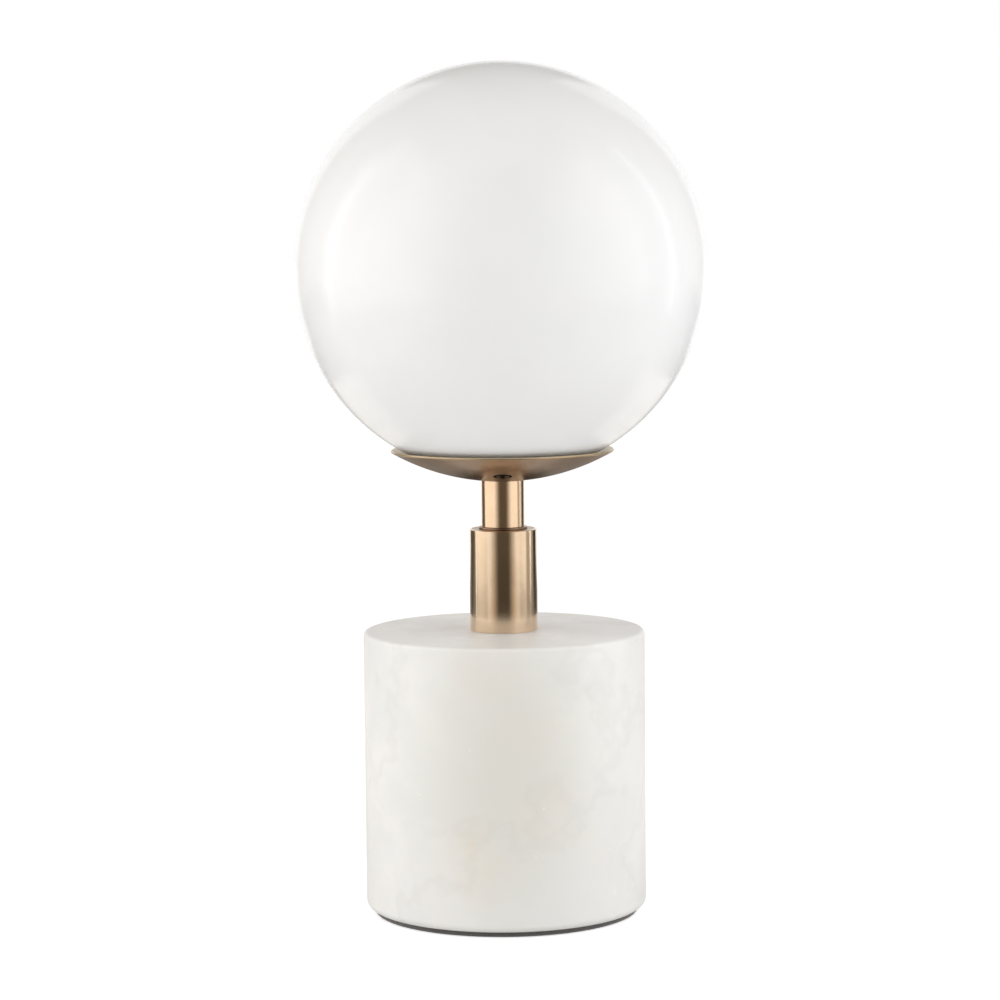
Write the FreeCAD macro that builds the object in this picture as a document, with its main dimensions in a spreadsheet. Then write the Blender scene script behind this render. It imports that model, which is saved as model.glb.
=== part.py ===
import FreeCAD, Part
import math
import os
import re

import Sketcher

# Table lamp: an opal glass globe in a shallow brass dish, on a two-step brass stem,
# on a hollowed marble cylinder. Millimetres, +Z up, origin under the middle of the pad,
# the front of the lamp towards -Y and its cord entry towards +Y.

SIZES = {
    # marble foot
    "pad_inset": 4.3,
    "pad_thickness": 2.4,
    "marble_radius": 68.5,
    "marble_height": 135.5,
    "marble_top_round": 2.0,
    "marble_foot_round": 4.0,
    "cavity_wall": 30.5,
    "ceiling_thickness": 32.0,
    "recess_edge": 16.5,
    # cover under the hollow foot
    "plate_thickness": 2.0,
    "plate_inset": 0.5,
    "plate_gap": 0.4,
    "cover_screw_count": 3,
    "screw_shank_radius": 1.7,
    "screw_head_radius": 3.2,
    "screw_head_height": 1.5,
    "screw_length": 12.0,
    "screw_clearance": 0.1,
    "anchor_radius": 3.0,
    "anchor_length": 15.0,
    # cord entry at the back of the foot
    "cord_height": 16.0,
    "grommet_bore_radius": 3.3,
    "grommet_wall": 1.7,
    "grommet_flange_width": 3.0,
    "grommet_flange_thickness": 3.0,
    "grommet_seat_depth": 2.0,
    "grommet_tail": 1.5,
    "grommet_round": 0.8,
    # terminal block on the cover
    "block_width": 20.0,
    "block_depth": 16.0,
    "block_height": 13.0,
    "block_pole_spacing": 8.0,
    "block_screw_spacing": 9.0,
    "block_wire_height": 5.0,
    "block_wire_bore": 1.6,
    "block_screw_radius": 1.5,
    "block_screw_length": 5.6,
    "block_well_gap": 0.3,
    # hollow rod with its nuts and washers
    "rod_radius": 5.0,
    "rod_wall": 1.6,
    "rod_end_proud": 3.0,
    "rod_socket_proud": 1.0,
    "rod_hole_gap": 0.2,
    "thread_gap": 0.05,
    "nut_width": 14.0,
    "nut_height": 4.0,
    "clamp_washer_radius": 18.0,
    "clamp_washer_thickness": 2.0,
    "lock_washer_radius": 8.8,
    "lock_washer_thickness": 2.0,
    "lock_washer_slit": 1.6,
    "dish_washer_radius": 9.5,
    "dish_washer_thickness": 1.0,
    # brass stem
    "fit_gap": 0.05,
    "sleeve_radius": 16.4,
    "sleeve_wall": 2.4,
    "sleeve_height": 49.6,
    "sleeve_bevel": 0.7,
    "sleeve_rim_width": 1.2,
    "sleeve_cap_thickness": 3.0,
    "sleeve_cap_bevel": 0.3,
    "locator_thickness": 4.0,
    "tube_seat_step": 1.3,
    "tube_seat_thickness": 1.0,
    "tube_seat_spigot": 2.0,
    "tube_radius": 10.5,
    "tube_wall": 1.5,
    "tube_length": 22.8,
    "tube_bush_thickness": 3.0,
    # brass dish
    "dish_seat_margin": 1.5,
    "dish_rim_radius": 54.3,
    "dish_depth": 13.9,
    "dish_wall": 1.2,
    "vent_radius": 4.4,
    "vent_circle": 31.5,
    "vent_count": 3,
    # globe, its soft ring and its spring arms
    "globe_radius": 100.0,
    "globe_wall": 2.6,
    "mouth_radius": 38.0,
    "mouth_round": 0.9,
    "gasket_radius": 42.0,
    "gasket_width": 5.0,
    "gasket_thickness": 1.5,
    "globe_clearance": 0.3,
    "spider_thickness": 0.8,
    "spider_hub_radius": 12.0,
    "spider_arm_root": 2.0,
    "spider_arm_width": 8.0,
    "spider_arm_count": 3,
    "spider_knee_inset": 8.0,
    "spider_tip_inset": 5.0,
    "spider_tip_height": 13.0,
    # lampholder
    "holder_spigot_wall": 1.6,
    "holder_wall": 2.0,
    "holder_floor": 3.0,
    "holder_bevel": 2.0,
    "wiring_height": 18.0,
    "ledge_width": 1.5,
    "core_thickness": 5.0,
    "holder_spigot": 2.0,
    "holder_length": 26.0,
    "shell_wall": 1.0,
    "shell_height": 24.0,
    "shell_flange_thickness": 0.8,
    "shell_flange_width": 4.8,
    "contact_width": 6.0,
    "contact_thickness": 0.5,
    "contact_rise": 3.0,
    "live_screw_offset": 6.0,
    "neutral_screw_inset": 2.9,
    "holder_screw_radius": 1.5,
    "holder_screw_head_radius": 2.5,
    "holder_screw_head_height": 2.0,
    # bulb
    "bulb_thread_core": 12.0,
    "bulb_thread_ridge": 1.1,
    "thread_pitch": 3.629,
    "thread_turns": 4.0,
    "holder_ridge": 0.95,
    "thread_clearance": 0.2,
    "thread_margin": 1.0,
    "bulb_cap_wall": 0.8,
    "bulb_cap_bottom": 5.0,
    "bulb_cap_top": 27.0,
    "bulb_contact_radius": 4.6,
    "bulb_contact_height": 1.2,
    "bulb_insulator_top": 8.0,
    "bulb_neck_radius": 13.6,
    "bulb_neck_length": 5.0,
    "bulb_tail_depth": 12.0,
    "bulb_rim_height": 68.0,
    "bulb_globe_radius": 30.0,
    "bulb_globe_drop": 8.0,
    "bulb_housing_wall": 1.8,
    "diffuser_wall": 1.4,
    "board_thickness": 1.6,
    "board_ledge": 1.2,
    "driver_width": 16.0,
    "driver_height": 24.0,
    # leads through the rod, from the holder to the terminal block
    "lead_radius": 1.1,
    "lead_spacing": 2.5,
    "lead_mouth_gap": 1.7,
    "lead_spread_height": 5.0,
    "lead_tail": 7.0,
    "lead_bow": 19.0,
    "lead_return": 25.0,
    "lead_return_height": 23.0,
    "lead_block_run": 11.0,
    "lead_block_depth": 6.5,
}

doc = FreeCAD.newDocument("GlobeLamp")
sheet = doc.addObject("Spreadsheet::Sheet", "Sizes")
for row, (alias, number) in enumerate(SIZES.items(), start=1):
    sheet.set(f"A{row}", alias)
    sheet.set(f"B{row}", str(number))
    sheet.setAlias(f"B{row}", alias)
doc.recompute()


def full(expression):
    """Put the sheet's name before each size named in an expression."""
    return re.sub(r"[a-z]\w*", lambda word: f"Sizes.{word[0]}" if word[0] in SIZES else word[0],
                  expression)


def value(expression):
    """The number that an expression stands for now."""
    return float(sheet.evalExpression(full(expression)))


# Radii that follow from the sizes. Each is an expression in the named sizes.
PAD_RADIUS = "(marble_radius - pad_inset)"
CAVITY = "(marble_radius - cavity_wall)"
RECESS = "(marble_radius - recess_edge)"
COVER_SCREW_CIRCLE = f"(({CAVITY} + {RECESS}) / 2)"
GROMMET_OUTSIDE = "(grommet_bore_radius + grommet_wall)"
GROMMET_FLANGE = f"({GROMMET_OUTSIDE} + grommet_flange_width)"
ROD_BORE = "(rod_radius - rod_wall)"
ROD_HOLE = "(rod_radius + rod_hole_gap)"
NUT_BORE = "(rod_radius + thread_gap)"
SLEEVE_BORE = "(sleeve_radius - sleeve_wall)"
SLEEVE_RIM = "(sleeve_radius - sleeve_rim_width)"
TUBE_BORE = "(tube_radius - tube_wall)"
TUBE_SEAT = "(tube_radius + tube_seat_step)"
DISH_FLAT = "(tube_radius + dish_seat_margin)"
GASKET_INNER = "(gasket_radius - gasket_width / 2)"
GASKET_OUTER = "(gasket_radius + gasket_width / 2)"
THREAD_OUTSIDE = "(bulb_thread_core + bulb_thread_ridge + thread_clearance)"
SHELL_OUTSIDE = f"({THREAD_OUTSIDE} + shell_wall)"
SHELL_FLANGE = f"({SHELL_OUTSIDE} - shell_flange_width)"
CAVITY_BORE = f"({SHELL_OUTSIDE} + holder_spigot_wall + 2 * fit_gap)"
HOLDER_RADIUS = f"({CAVITY_BORE} + holder_wall)"
CAP_BORE = "(bulb_thread_core - bulb_cap_wall)"
LIVE_X = "(0 - live_screw_offset)"
NEUTRAL_X = f"({SHELL_OUTSIDE} - neutral_screw_inset)"

# Heights of the stack, from the ground up. Each is an expression in the named sizes.
MARBLE_TOP = "(pad_thickness + marble_height)"
CEILING = f"({MARBLE_TOP} - ceiling_thickness)"
RECESS_DEPTH = "(plate_thickness + plate_inset)"
PLATE_TOP = f"(pad_thickness + {RECESS_DEPTH})"
LOWER_NUT = f"({CEILING} - clamp_washer_thickness - lock_washer_thickness - nut_height)"
ROD_BOTTOM = f"({LOWER_NUT} - rod_end_proud)"
SLEEVE_TOP = f"({MARBLE_TOP} + sleeve_height)"
TUBE_BOTTOM = f"({SLEEVE_TOP} + tube_seat_thickness)"
DISH_SEAT = f"({TUBE_BOTTOM} + tube_length)"
DISH_WASHER = f"({DISH_SEAT} + dish_wall)"
DISH_NUT = f"({DISH_WASHER} + dish_washer_thickness)"
SPIDER = f"({DISH_NUT} + nut_height)"
SPIDER_NUT = f"({SPIDER} + spider_thickness)"
HOLDER = f"({SPIDER_NUT} + nut_height)"
ROD_TOP = f"({HOLDER} + holder_floor + rod_socket_proud)"
CORE = f"({HOLDER} + wiring_height)"
CORE_TOP = f"({CORE} + core_thickness)"
BULB = f"({CORE_TOP} + contact_rise + globe_clearance)"

# The dish is part of a sphere about a point on the axis, this high over its flat seat.
DISH_CENTRE = f"((dish_rim_radius^2 + dish_depth^2 - {DISH_FLAT}^2) / (2 * dish_depth))"
DISH_OUTSIDE = f"(sqrt({DISH_FLAT}^2 + {DISH_CENTRE}^2))"
DISH_INSIDE = f"({DISH_OUTSIDE} - dish_wall)"
# The globe rests on the soft ring, measured at the ring's middle.
GLOBE_OVER_SEAT = (f"({DISH_CENTRE} - sqrt({DISH_INSIDE}^2 - gasket_radius^2)"
                   " + gasket_thickness + globe_clearance"
                   " + sqrt(globe_radius^2 - gasket_radius^2))")
GLOBE_CENTRE = f"({DISH_SEAT} + {GLOBE_OVER_SEAT})"
MOUTH_DROP = "(sqrt(globe_radius^2 - mouth_radius^2))"
MOUTH_DROP_INSIDE = "(sqrt((globe_radius - globe_wall)^2 - mouth_radius^2))"


def bind(item, path, expression):
    item.setExpression(path, full(expression))


def place(item, height, tilt=0.0):
    """Stand a sub-part at a height on the axis, tipped about X by a number of degrees."""
    turn = FreeCAD.Rotation(FreeCAD.Vector(1, 0, 0), tilt)
    item.Placement = FreeCAD.Placement(FreeCAD.Vector(0, 0, value(height)), turn)
    bind(item, "Placement.Base.z", height)
    return item


def origin_item(body, role):
    return next(item for item in body.Origin.OriginFeatures if item.Role == role)


def new_body(label):
    body = doc.addObject("PartDesign::Body", label)
    body.Label = label
    body.AllowCompound = True
    return body


def new_sketch(body, name, role):
    sketch = body.newObject("Sketcher::SketchObject", f"{body.Name}_{name}")
    sketch.AttachmentSupport = [(origin_item(body, role), "")]
    sketch.MapMode = "FlatFace"
    return sketch


def pin(sketch, geometry, end, across, up):
    """Tie a point of a sketch to its two expressions, measured from the sketch's origin."""
    for kind, axis, expression in (("DistanceX", -2, across), ("DistanceY", -1, up)):
        number = value(expression)
        if expression == "0":
            sketch.addConstraint(Sketcher.Constraint("PointOnObject", geometry, end, axis))
        else:
            index = sketch.addConstraint(
                Sketcher.Constraint(kind, -1, 1, geometry, end, number))
            sketch.setExpression(f"Constraints[{index}]", full(expression))


def add_edge(sketch, start, end, round_axis):
    """A line, or an arc centred on the axis; returns its index and which end is the start."""
    (x1, y1), (x2, y2) = start, end
    if not round_axis:
        line = Part.LineSegment(FreeCAD.Vector(x1, y1, 0), FreeCAD.Vector(x2, y2, 0))
        return sketch.addGeometry(line), 1, 2
    centre = (x1 ** 2 + y1 ** 2 - x2 ** 2 - y2 ** 2) / (2 * (y1 - y2))
    radius = math.hypot(x1, y1 - centre)
    angles = sorted((math.atan2(y1 - centre, x1), math.atan2(y2 - centre, x2)))
    circle = Part.Circle(FreeCAD.Vector(0, centre, 0), FreeCAD.Vector(0, 0, 1), radius)
    index = sketch.addGeometry(Part.ArcOfCircle(circle, *angles))
    sketch.addConstraint(Sketcher.Constraint("PointOnObject", index, 3, -2))
    if y1 < y2:
        return index, 1, 2
    return index, 2, 1


def draw_outline(sketch, points):
    """A closed outline. A point is (across, up), with "arc" added where the edge that
    leaves it is an arc about the axis."""
    corners = [(value(point[0]), value(point[1])) for point in points]
    edges = []
    for index, point in enumerate(points):
        following = corners[(index + 1) % len(points)]
        edges.append(add_edge(sketch, corners[index], following, len(point) > 2))
    for index, point in enumerate(points):
        geometry, start, _ = edges[index]
        previous, _, previous_end = edges[index - 1]
        sketch.addConstraint(
            Sketcher.Constraint("Coincident", previous, previous_end, geometry, start))
        pin(sketch, geometry, start, point[0], point[1])


def turned(label, points, height, tilt=0.0):
    """A body turned about its own Z axis from an outline of radii and heights."""
    body = place(new_body(label), height, tilt)
    sketch = new_sketch(body, "outline", "XZ_Plane")
    draw_outline(sketch, points)
    doc.recompute()
    feature = body.newObject("PartDesign::Revolution", f"{label}_turned")
    feature.Profile = sketch
    feature.ReferenceAxis = (sketch, ["V_Axis"])
    feature.Angle = 360
    body.Tip = feature
    doc.recompute()
    return body


def ring(label, inner, outer, thickness, height):
    """A flat washer or disc with a hole."""
    points = [(inner, "0"), (outer, "0"), (outer, thickness), (inner, thickness)]
    return turned(label, points, height)


def circles(sketch, radius, centres):
    for across, up in centres:
        middle = FreeCAD.Vector(value(across), value(up), 0)
        index = sketch.addGeometry(
            Part.Circle(middle, FreeCAD.Vector(0, 0, 1), value(radius)))
        pin(sketch, index, 3, across, up)
        size = sketch.addConstraint(Sketcher.Constraint("Radius", index, value(radius)))
        sketch.setExpression(f"Constraints[{size}]", full(radius))


def cut(body, name, role, radius, centres, depth, offset="0", flip=False):
    """Round holes cut from a plane of the body over a depth; it must take material away."""
    sketch = new_sketch(body, name, role)
    circles(sketch, radius, centres)
    sketch.AttachmentOffset = FreeCAD.Placement(
        FreeCAD.Vector(0, 0, value(offset)), FreeCAD.Rotation())
    if offset != "0":
        bind(sketch, "AttachmentOffset.Base.z", offset)
    before = body.Shape.Volume
    feature = body.newObject("PartDesign::Pocket", f"{body.Name}_{name}_cut")
    feature.Profile = sketch
    feature.Length = value(depth)
    bind(feature, "Length", depth)
    feature.Reversed = flip
    body.Tip = feature
    doc.recompute()
    if not body.Shape.Volume < before - 1e-3:
        raise ValueError(f"{body.Name}: {name} cuts nothing")
    return feature


def repeat(body, feature, count):
    """The feature again, evenly round the body's axis."""
    pattern = body.newObject("PartDesign::PolarPattern", f"{feature.Name}_round")
    pattern.Originals = [feature]
    pattern.Axis = (origin_item(body, "Z_Axis"), [""])
    pattern.Angle = 360
    pattern.Occurrences = int(value(count))
    bind(pattern, "Occurrences", count)
    body.Tip = pattern
    doc.recompute()
    return pattern


def circle_edges(shape, radius, height):
    """Names of the round edges of one radius whose centres lie at one height."""
    names = []
    for index, edge in enumerate(shape.Edges, start=1):
        if edge.Degenerated or not isinstance(edge.Curve, Part.Circle):
            continue
        here = (edge.Curve.Radius, edge.Curve.Center.z)
        if math.dist(here, (value(radius), value(height))) < 1e-4:
            names.append(f"Edge{index}")
    return names


def dress_edges(body, kind, path, places, size):
    """Round or bevel the circles that lie at the given (radius, height) places."""
    base = body.Tip
    names = [name for place in places for name in circle_edges(base.Shape, *place)]
    if not names:
        raise ValueError(f"{body.Name} has no edge for its {kind}")
    feature = body.newObject(f"PartDesign::{kind}", f"{body.Name}_{kind.lower()}")
    feature.Base = (base, names)
    setattr(feature, path, value(size))
    bind(feature, path, size)
    body.Tip = feature
    doc.recompute()
    return feature


def round_edges(body, places, radius):
    return dress_edges(body, "Fillet", "Radius", places, radius)


def bevel_edges(body, places, size):
    return dress_edges(body, "Chamfer", "Size", places, size)


def padded(body, name, points, width):
    """A strip: an outline in the XZ plane, given its width evenly both ways along Y."""
    sketch = new_sketch(body, name, "XZ_Plane")
    draw_outline(sketch, points)
    doc.recompute()
    feature = body.newObject("PartDesign::Pad", f"{body.Name}_{name}_pad")
    feature.Profile = sketch
    feature.Length = value(width)
    bind(feature, "Length", width)
    feature.Midplane = True
    body.Tip = feature
    doc.recompute()
    return feature


def primitive(kind, name, sizes, x, y, z):
    """A Part primitive with its sizes and its place tied to expressions."""
    item = doc.addObject(kind, name)
    for path, expression in sizes.items():
        setattr(item, path, value(expression))
        bind(item, path, expression)
    item.Placement = FreeCAD.Placement(
        FreeCAD.Vector(value(x), value(y), value(z)), FreeCAD.Rotation())
    for axis, expression in zip("xyz", (x, y, z)):
        bind(item, f"Placement.Base.{axis}", expression)
    return item


def together(label, pieces):
    """Several solids as one node."""
    group = doc.addObject("Part::MultiFuse", label)
    group.Label = label
    group.Shapes = pieces
    group.Refine = True
    doc.recompute()
    return group


def around(circle, count, first_degrees):
    """Places evenly round the axis, as pairs of expressions."""
    number = int(value(count))
    angles = [first_degrees + 360 * index / number for index in range(number)]
    return [(f"({circle} * cos({angle} deg))", f"({circle} * sin({angle} deg))")
            for angle in angles]


# ---------------------------------------------------------------- marble foot

COVER_SCREW_ANGLE = -90.0
cover_screws = around(COVER_SCREW_CIRCLE, "cover_screw_count", COVER_SCREW_ANGLE)
cover_screw = cover_screws[0]


def make_base_pad():
    points = [("0", "0"), (PAD_RADIUS, "0"), (PAD_RADIUS, "pad_thickness"),
              ("0", "pad_thickness")]
    return turned("base_pad", points, "0")


def make_marble_base():
    ceiling = "marble_height - ceiling_thickness"
    body = turned("marble_base", [
        (RECESS, "0"),
        ("marble_radius", "0"),
        ("marble_radius", "marble_height"),
        (ROD_HOLE, "marble_height"),
        (ROD_HOLE, ceiling),
        (CAVITY, ceiling),
        (CAVITY, RECESS_DEPTH),
        (RECESS, RECESS_DEPTH),
    ], "pad_thickness")
    round_edges(body, [("marble_radius", "marble_height")], "marble_top_round")
    round_edges(body, [("marble_radius", "0")], "marble_foot_round")
    hole = cut(body, "anchor_hole", "XY_Plane", "anchor_radius + fit_gap", [cover_screw],
               f"{RECESS_DEPTH} + anchor_length + fit_gap", flip=True)
    repeat(body, hole, "cover_screw_count")
    cord_place = [("0", "cord_height")]
    cut(body, "cord_hole", "XZ_Plane", f"{GROMMET_OUTSIDE} + fit_gap", cord_place,
        "marble_radius")
    cut(body, "grommet_seat", "XZ_Plane", f"{GROMMET_FLANGE} + fit_gap", cord_place,
        "marble_radius", offset="0 - (marble_radius - grommet_seat_depth)")
    return body


def make_bottom_plate():
    radius = f"{RECESS} - plate_gap"
    hole_radius = "screw_shank_radius + screw_clearance"
    body = turned("bottom_plate", [
        ("0", "0"), (radius, "0"), (radius, "plate_thickness"), ("0", "plate_thickness"),
    ], "pad_thickness + plate_inset")
    cut(body, "screw_holes", "XY_Plane", hole_radius, cover_screws + [("0", "0")],
        "plate_thickness", flip=True)
    bevel_edges(body, [(hole_radius, "0")], "screw_head_radius - screw_shank_radius")
    return body


def make_plate_screws():
    base = "pad_thickness + plate_inset"
    pieces = []
    for index, (x, y) in enumerate(cover_screws + [("0", "0")]):
        head = {"Radius1": "screw_head_radius", "Radius2": "screw_shank_radius",
                "Height": "screw_head_height"}
        shank = {"Radius": "screw_shank_radius", "Height": "screw_length"}
        pieces.append(primitive("Part::Cone", f"screw_head_{index}", head, x, y, base))
        pieces.append(primitive("Part::Cylinder", f"screw_shank_{index}", shank, x, y, base))
    return together("plate_screws", pieces)


def make_plate_anchors():
    pieces = []
    for index, (x, y) in enumerate(cover_screws):
        plug = {"Radius": "anchor_radius", "Height": "anchor_length"}
        bore = {"Radius": "screw_shank_radius + fit_gap", "Height": "anchor_length"}
        outer = primitive("Part::Cylinder", f"anchor_plug_{index}", plug, x, y, PLATE_TOP)
        inner = primitive("Part::Cylinder", f"anchor_bore_{index}", bore, x, y, PLATE_TOP)
        hollow = doc.addObject("Part::Cut", f"anchor_{index}")
        hollow.Base = outer
        hollow.Tool = inner
        pieces.append(hollow)
    return together("plate_anchors", pieces)


def make_cord_grommet():
    """Turned along its own axis, then tipped to point out of the back of the foot."""
    length = "cavity_wall - grommet_seat_depth + grommet_tail"
    end = f"{length} + grommet_flange_thickness"
    body = turned("cord_grommet", [
        ("grommet_bore_radius", "0"),
        (GROMMET_OUTSIDE, "0"),
        (GROMMET_OUTSIDE, length),
        (GROMMET_FLANGE, length),
        (GROMMET_FLANGE, end),
        ("grommet_bore_radius", end),
    ], "pad_thickness + cord_height", tilt=-90.0)
    bind(body, "Placement.Base.y", f"{CAVITY} - grommet_tail")
    round_edges(body, [(GROMMET_FLANGE, end), ("grommet_bore_radius", end)],
                "grommet_round")
    return body


def pole_places():
    across = "block_pole_spacing / 2"
    return [(f"0 - {across}", 0), (across, 1)]


def make_terminal_block():
    body = place(new_body("terminal_block"), PLATE_TOP)
    half = "block_width / 2"
    padded(body, "blank", [
        (f"0 - {half}", "0"), (half, "0"), (half, "block_height"), (f"0 - {half}", "block_height"),
    ], "block_depth")
    poles = [(across, "block_wire_height") for across, _ in pole_places()]
    cut(body, "wire_bores", "XZ_Plane", "block_wire_bore", poles, "block_depth",
        offset="block_depth / 2")
    wells = [(across, f"({sign} * block_screw_spacing / 2)")
             for across, _ in pole_places() for sign in (-1, 1)]
    cut(body, "screw_wells", "XY_Plane", "block_screw_radius + block_well_gap", wells,
        "block_height - block_wire_height", offset="block_height")
    cut(body, "fixing_hole", "XY_Plane", "screw_shank_radius + fit_gap", [("0", "0")],
        "screw_length - plate_thickness + fit_gap", flip=True)
    return body


def make_block_screws():
    """The four clamping screws, each standing on its lead or over the empty bore."""
    foot = f"{PLATE_TOP} + block_wire_height + lead_radius + fit_gap"
    size = {"Radius": "block_screw_radius", "Height": "block_screw_length"}
    pieces = []
    for across, pole in pole_places():
        for side in (-1, 1):
            y = f"({side} * block_screw_spacing / 2)"
            name = f"block_screw_{pole}_{side + 1}"
            pieces.append(primitive("Part::Cylinder", name, size, across, y, foot))
    return together("block_screws", pieces)


# ---------------------------------------------------------------- rod and its hardware

def make_threaded_rod():
    length = f"{ROD_TOP} - {ROD_BOTTOM}"
    return ring("threaded_rod", ROD_BORE, "rod_radius", length, ROD_BOTTOM)


def make_rod_nuts():
    pieces = []
    for index, height in enumerate((LOWER_NUT, DISH_NUT, SPIDER_NUT)):
        hexagon = {"Circumradius": "nut_width / sqrt(3)", "Height": "nut_height"}
        bore = {"Radius": NUT_BORE, "Height": "nut_height"}
        outer = primitive("Part::Prism", f"nut_blank_{index}", hexagon, "0", "0", height)
        outer.Polygon = 6
        inner = primitive("Part::Cylinder", f"nut_bore_{index}", bore, "0", "0", height)
        nut = doc.addObject("Part::Cut", f"nut_{index}")
        nut.Base = outer
        nut.Tool = inner
        pieces.append(nut)
    return together("rod_nuts", pieces)


def make_clamp_washer():
    return ring("clamp_washer", ROD_HOLE, "clamp_washer_radius", "clamp_washer_thickness",
                f"{CEILING} - clamp_washer_thickness")


def make_lock_washer():
    """A spring washer: a ring with a slit through one side."""
    body = ring("lock_washer", ROD_HOLE, "lock_washer_radius", "lock_washer_thickness",
                f"{LOWER_NUT} + nut_height")
    sketch = new_sketch(body, "slit", "XY_Plane")
    half = "lock_washer_slit / 2"
    draw_outline(sketch, [
        ("0", f"0 - {half}"), ("lock_washer_radius * 2", f"0 - {half}"),
        ("lock_washer_radius * 2", half), ("0", half),
    ])
    feature = body.newObject("PartDesign::Pocket", "lock_washer_slit_cut")
    feature.Profile = sketch
    feature.Type = "ThroughAll"
    feature.Reversed = True
    body.Tip = feature
    doc.recompute()
    return body


def make_dish_washer():
    return ring("dish_washer", ROD_HOLE, "dish_washer_radius", "dish_washer_thickness",
                DISH_WASHER)


# ---------------------------------------------------------------- brass stem

def make_sleeve_locator():
    return ring("sleeve_locator", ROD_HOLE, f"{SLEEVE_BORE} - fit_gap", "locator_thickness",
                MARBLE_TOP)


def make_stem_sleeve():
    shelf = "sleeve_height - sleeve_cap_thickness"
    return turned("stem_sleeve", [
        (SLEEVE_BORE, "0"),
        ("sleeve_radius", "0"),
        ("sleeve_radius", "sleeve_height - sleeve_bevel"),
        ("sleeve_radius - sleeve_bevel", "sleeve_height"),
        (SLEEVE_RIM, "sleeve_height"),
        (SLEEVE_RIM, shelf),
        (SLEEVE_BORE, shelf),
    ], MARBLE_TOP)


def make_sleeve_cap():
    edge = f"{SLEEVE_RIM} - fit_gap"
    return turned("sleeve_cap", [
        (ROD_HOLE, "0"),
        (edge, "0"),
        (edge, "sleeve_cap_thickness - sleeve_cap_bevel"),
        (f"{edge} - sleeve_cap_bevel", "sleeve_cap_thickness"),
        (ROD_HOLE, "sleeve_cap_thickness"),
    ], f"{SLEEVE_TOP} - sleeve_cap_thickness")


def make_tube_seat():
    top = "tube_seat_thickness + tube_seat_spigot"
    spigot = f"{TUBE_BORE} - fit_gap"
    return turned("tube_seat", [
        (ROD_HOLE, "0"),
        (TUBE_SEAT, "0"),
        (TUBE_SEAT, "tube_seat_thickness"),
        (spigot, "tube_seat_thickness"),
        (spigot, top),
        (ROD_HOLE, top),
    ], SLEEVE_TOP)


def make_neck_tube():
    return ring("neck_tube", TUBE_BORE, "tube_radius", "tube_length", TUBE_BOTTOM)


def make_tube_bush():
    return ring("tube_bush", ROD_HOLE, f"{TUBE_BORE} - fit_gap", "tube_bush_thickness",
                f"{DISH_SEAT} - tube_bush_thickness")


# ---------------------------------------------------------------- dish and globe

def make_shade_dish():
    """A spherical cap with a flat seat pressed in its middle and its edge cut square."""
    inside_flat = f"sqrt({DISH_INSIDE}^2 - ({DISH_CENTRE} - dish_wall)^2)"
    shrink = f"({DISH_INSIDE} / {DISH_OUTSIDE})"
    body = turned("shade_dish", [
        (ROD_HOLE, "0"),
        (DISH_FLAT, "0", "arc"),
        ("dish_rim_radius", "dish_depth"),
        (f"dish_rim_radius * {shrink}",
         f"{DISH_CENTRE} - ({DISH_CENTRE} - dish_depth) * {shrink}", "arc"),
        (inside_flat, "dish_wall"),
        (ROD_HOLE, "dish_wall"),
    ], DISH_SEAT)
    vent = cut(body, "vent", "XY_Plane", "vent_radius", [("0", "0 - vent_circle")],
               "dish_depth", flip=True)
    repeat(body, vent, "vent_count")
    return body


def make_globe_gasket():
    """A soft ring that fills the narrow space between the dish and the glass."""
    def on_dish(radius):
        return f"{DISH_CENTRE} - sqrt(({DISH_INSIDE} - fit_gap)^2 - {radius}^2)"

    def under_glass(radius):
        return f"{GLOBE_OVER_SEAT} - sqrt((globe_radius + globe_clearance)^2 - {radius}^2)"

    return turned("globe_gasket", [
        (GASKET_INNER, on_dish(GASKET_INNER), "arc"),
        (GASKET_OUTER, on_dish(GASKET_OUTER)),
        (GASKET_OUTER, under_glass(GASKET_OUTER), "arc"),
        (GASKET_INNER, under_glass(GASKET_INNER)),
    ], DISH_SEAT)


def make_clip_spider():
    """A hub with sprung arms that bow out to the edge of the globe's mouth."""
    body = ring("clip_spider", ROD_HOLE, "spider_hub_radius", "spider_thickness", SPIDER)
    reach = "sqrt((mouth_radius - globe_clearance)^2 - (spider_arm_width / 2)^2)"
    bow = f"{GLOBE_CENTRE} - ({MOUTH_DROP} + {MOUTH_DROP_INSIDE}) / 2 - {SPIDER}"
    leaf = "spider_thickness * 1.15"
    root = "spider_hub_radius - spider_arm_root"
    knee = "mouth_radius - spider_knee_inset"
    tip = "mouth_radius - spider_tip_inset"
    arm = padded(body, "arm", [
        (root, "0"),
        (knee, "0"),
        (reach, bow),
        (tip, "spider_tip_height"),
        (f"{tip} - {leaf}", "spider_tip_height"),
        (f"{reach} - {leaf}", bow),
        (f"{knee} - spider_thickness / 2", "spider_thickness"),
        (root, "spider_thickness"),
    ], "spider_arm_width")
    repeat(body, arm, "spider_arm_count")
    return body


def make_globe_shade():
    """A blown glass sphere with a round mouth cut in its foot and polished."""
    foot = f"{MOUTH_DROP} - {MOUTH_DROP_INSIDE}"
    body = turned("globe_shade", [
        ("mouth_radius", "0", "arc"),
        ("0", f"{MOUTH_DROP} + globe_radius"),
        ("0", f"{MOUTH_DROP} + globe_radius - globe_wall", "arc"),
        ("mouth_radius", foot),
    ], f"{GLOBE_CENTRE} - {MOUTH_DROP}")
    round_edges(body, [("mouth_radius", "0"), ("mouth_radius", foot)], "mouth_round")
    return body


# ---------------------------------------------------------------- lampholder

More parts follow.
